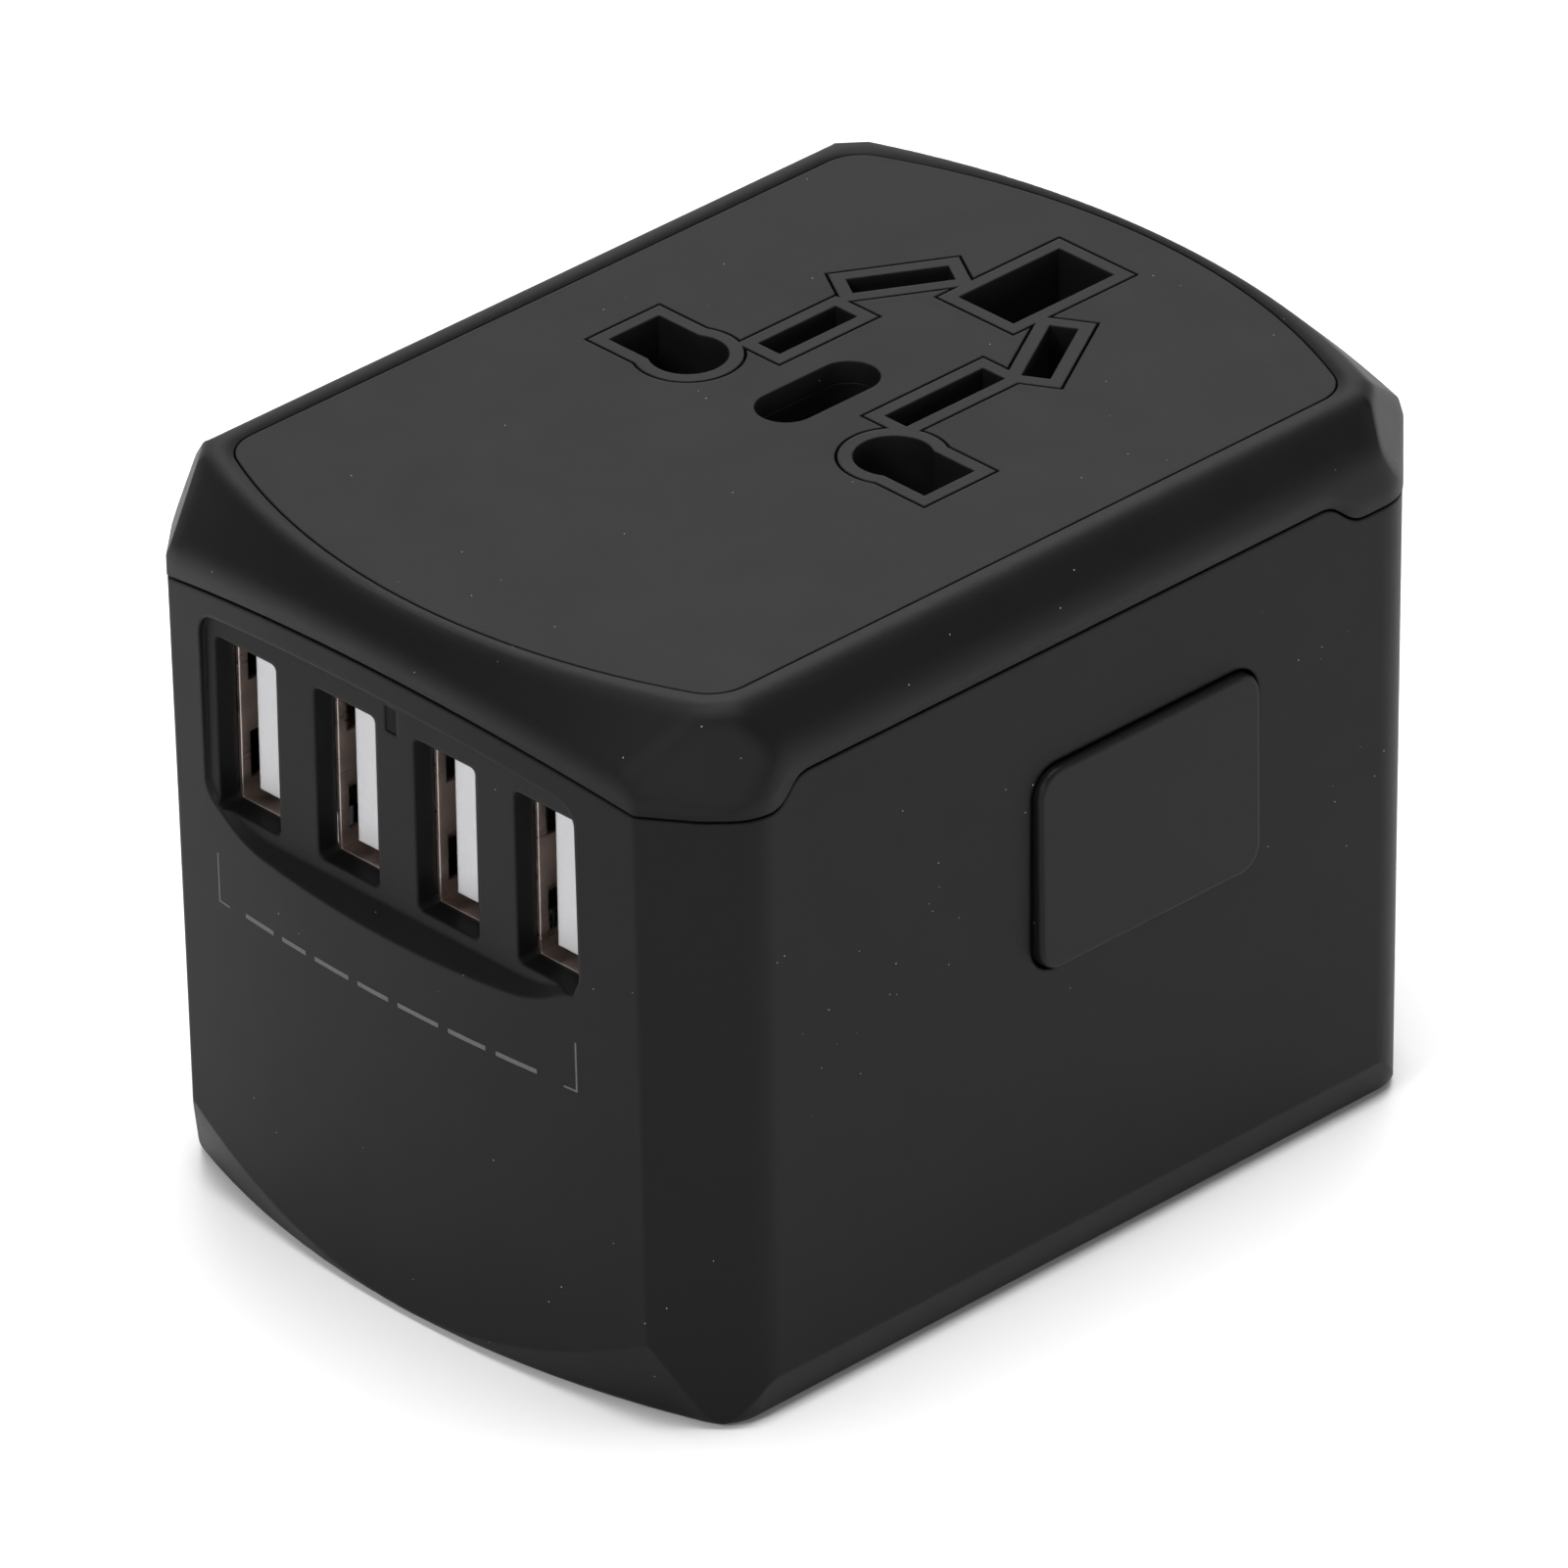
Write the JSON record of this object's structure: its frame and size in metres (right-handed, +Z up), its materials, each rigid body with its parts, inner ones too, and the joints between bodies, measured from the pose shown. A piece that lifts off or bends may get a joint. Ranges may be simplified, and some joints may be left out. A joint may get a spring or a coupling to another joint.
{
  "type": "universal travel adapter",
  "caption": "Boxy universal travel adapter with a multi-standard mains socket on top, upright charging ports on one end, an unlock button and sliding retractable plug pins.",
  "frame": {"origin": "middle of the underside, at the centre of the overall outline", "axes": "+Z up out of the mains socket face, -Y out of the charging-port face, +X out of the unlock button"},
  "size_m": [0.0548, 0.0722, 0.052],
  "materials": {
    "housing_black": "fine satin texture",
    "panel_black": "fine satin texture",
    "insert_black": "satin",
    "base_black": "fine satin texture",
    "button_black": "smooth satin",
    "knob_grey": "satin",
    "carriage_black": "moulded",
    "lock_white": "moulded",
    "shutter_grey": "moulded",
    "carrier_black": "moulded",
    "pin_nickel": "nickel plated",
    "sleeve_black": "satin",
    "contact_brass": "rolled strip",
    "spring_steel": "drawn wire",
    "screw_steel": "blackened",
    "port_steel": "tin plated, warm tint",
    "tongue_white": "satin",
    "strip_gold": "gold plated",
    "board_green": "solder mask",
    "transformer_tape": "taped winding on a ferrite core",
    "capacitor_sleeve": "shrink sleeve",
    "fuse_glass": "glass tube with end caps",
    "pipe_clear": "smoked"
  },
  "bodies": {
    "housing": {"base_plate": "base_black", "body_shell": "housing_black", "button_spring": "spring_steel", "capacitors": "capacitor_sleeve", "case_screws": "screw_steel", "contact_carrier": "carrier_black", "contact_earth": "contact_brass", "contact_live": "contact_brass", "contact_neutral": "contact_brass", "fuse": "fuse_glass", "fuse_clips": "contact_brass", "led_light_pipe": "pipe_clear", "power_board": "board_green", "shutter_spring": "spring_steel", "socket_insert": "insert_black", "socket_panel": "panel_black", "top_cap": "housing_black", "transformer": "transformer_tape", "usb_board": "board_green", "usb_contacts": "strip_gold", "usb_shell_1": "port_steel", "usb_shell_2": "port_steel", "usb_shell_3": "port_steel", "usb_shell_4": "port_steel", "usb_tongue_1": "tongue_white", "usb_tongue_2": "tongue_white", "usb_tongue_3": "tongue_white", "usb_tongue_4": "tongue_white"},
    "button": {"unlock_button": "button_black", "lock_plate": "lock_white"},
    "shutter": {"safety_shutter": "shutter_grey"},
    "eu_carriage": {"carriage_eu": "carriage_black", "knob_eu": "knob_grey", "eu_pin_left": "pin_nickel", "eu_pin_right": "pin_nickel", "eu_sleeves": "sleeve_black"},
    "uk_carriage": {"carriage_uk": "carriage_black", "knob_uk": "knob_grey", "uk_pin_live": "pin_nickel", "uk_pin_neutral": "pin_nickel", "uk_pin_earth": "pin_nickel"},
    "us_carriage": {"carriage_us": "carriage_black", "knob_us": "knob_grey"},
    "us_blade_left": {"us_pin_left": "pin_nickel"},
    "us_blade_right": {"us_pin_right": "pin_nickel"}
  },
  "joints": [
    {"name": "button_press", "type": "slide", "parent": "housing", "child": "button", "axis": [-1, 0, 0], "range_m": [0, 0.002], "stiffness_N_per_m": 400, "deforming": ["button_spring"]},
    {"name": "shutter_slide", "type": "slide", "parent": "housing", "child": "shutter", "axis": [0, -1, 0], "range_m": [0, 0.006], "stiffness_N_per_m": 60, "deforming": ["shutter_spring"]},
    {"name": "eu_slide", "type": "slide", "parent": "housing", "child": "eu_carriage", "axis": [0, 0, -1], "range_m": [0, 0.019]},
    {"name": "uk_slide", "type": "slide", "parent": "housing", "child": "uk_carriage", "axis": [0, 0, -1], "range_m": [0, 0.0183]},
    {"name": "us_slide", "type": "slide", "parent": "housing", "child": "us_carriage", "axis": [0, 0, -1], "range_m": [0, 0.0165]},
    {"name": "us_blade_left_turn", "type": "hinge", "parent": "us_carriage", "child": "us_blade_left", "pos_m": [-0.00635, 0.001, 0.0265], "axis": [0, 0, 1], "range_deg": [-30, 0]},
    {"name": "us_blade_right_turn", "type": "hinge", "parent": "us_carriage", "child": "us_blade_right", "pos_m": [0.00635, 0.001, 0.0265], "axis": [0, 0, 1], "range_deg": [0, 30]}
  ]
}
